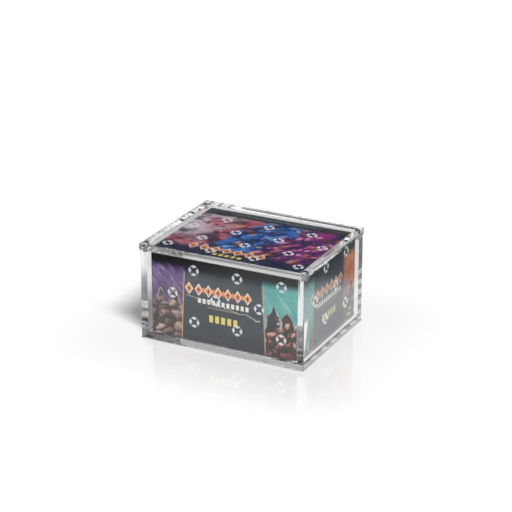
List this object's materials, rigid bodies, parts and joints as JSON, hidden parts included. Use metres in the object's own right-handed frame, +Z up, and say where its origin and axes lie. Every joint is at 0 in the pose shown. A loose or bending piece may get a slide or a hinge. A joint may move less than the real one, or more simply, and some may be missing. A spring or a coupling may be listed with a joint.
{
  "type": "booster box display case",
  "caption": "Clear acrylic display case with a flat magnetic lid, holding a sealed printed carton of trading card packs that lifts out through the open top.",
  "frame": {"origin": "centre of the case's footprint, on the underside of the floor panel", "axes": "+X along the width to the right seen from the front, +Y to the back, +Z up"},
  "size_m": [0.1514, 0.1186, 0.0842],
  "materials": {
    "clear_acrylic": "polished",
    "magnet_nickel": "plated",
    "shrink_film": "clear film",
    "printed_board": "gloss printed",
    "plain_board": "uncoated",
    "pack_wrapper": "foil wrapped cards"
  },
  "bodies": {
    "case": {"floor_panel": "clear_acrylic", "left_wall": "clear_acrylic", "right_wall": "clear_acrylic", "front_wall": "clear_acrylic", "back_wall": "clear_acrylic", "wall_magnets": "magnet_nickel"},
    "lid": {"lid_panel": "clear_acrylic", "lid_magnets": "magnet_nickel"},
    "sealed_carton": {"shrink_film": "shrink_film", "carton_tray": "printed_board", "carton_lid": "printed_board", "carton_divider_1": "plain_board", "card_pack_1_01": "pack_wrapper", "card_pack_1_02": "pack_wrapper", "card_pack_1_03": "pack_wrapper", "card_pack_1_04": "pack_wrapper", "card_pack_1_05": "pack_wrapper", "card_pack_1_06": "pack_wrapper", "card_pack_1_07": "pack_wrapper", "card_pack_1_08": "pack_wrapper", "card_pack_1_09": "pack_wrapper", "card_pack_1_10": "pack_wrapper", "card_pack_1_11": "pack_wrapper", "card_pack_1_12": "pack_wrapper", "card_pack_2_01": "pack_wrapper", "card_pack_2_02": "pack_wrapper", "card_pack_2_03": "pack_wrapper", "card_pack_2_04": "pack_wrapper", "card_pack_2_05": "pack_wrapper", "card_pack_2_06": "pack_wrapper", "card_pack_2_07": "pack_wrapper", "card_pack_2_08": "pack_wrapper", "card_pack_2_09": "pack_wrapper", "card_pack_2_10": "pack_wrapper", "card_pack_2_11": "pack_wrapper", "card_pack_2_12": "pack_wrapper"}
  },
  "joints": [
    {"name": "lid_lift", "type": "slide", "parent": "case", "child": "lid", "axis": [0, 0, 1], "range_m": [0, 0.18]},
    {"name": "box_lift", "type": "slide", "parent": "case", "child": "sealed_carton", "axis": [0, 0, 1], "range_m": [0, 0.09]}
  ],
  "couplings": [
    {"joint": "box_lift", "follows": "lid_lift", "ratio": 0.5}
  ]
}
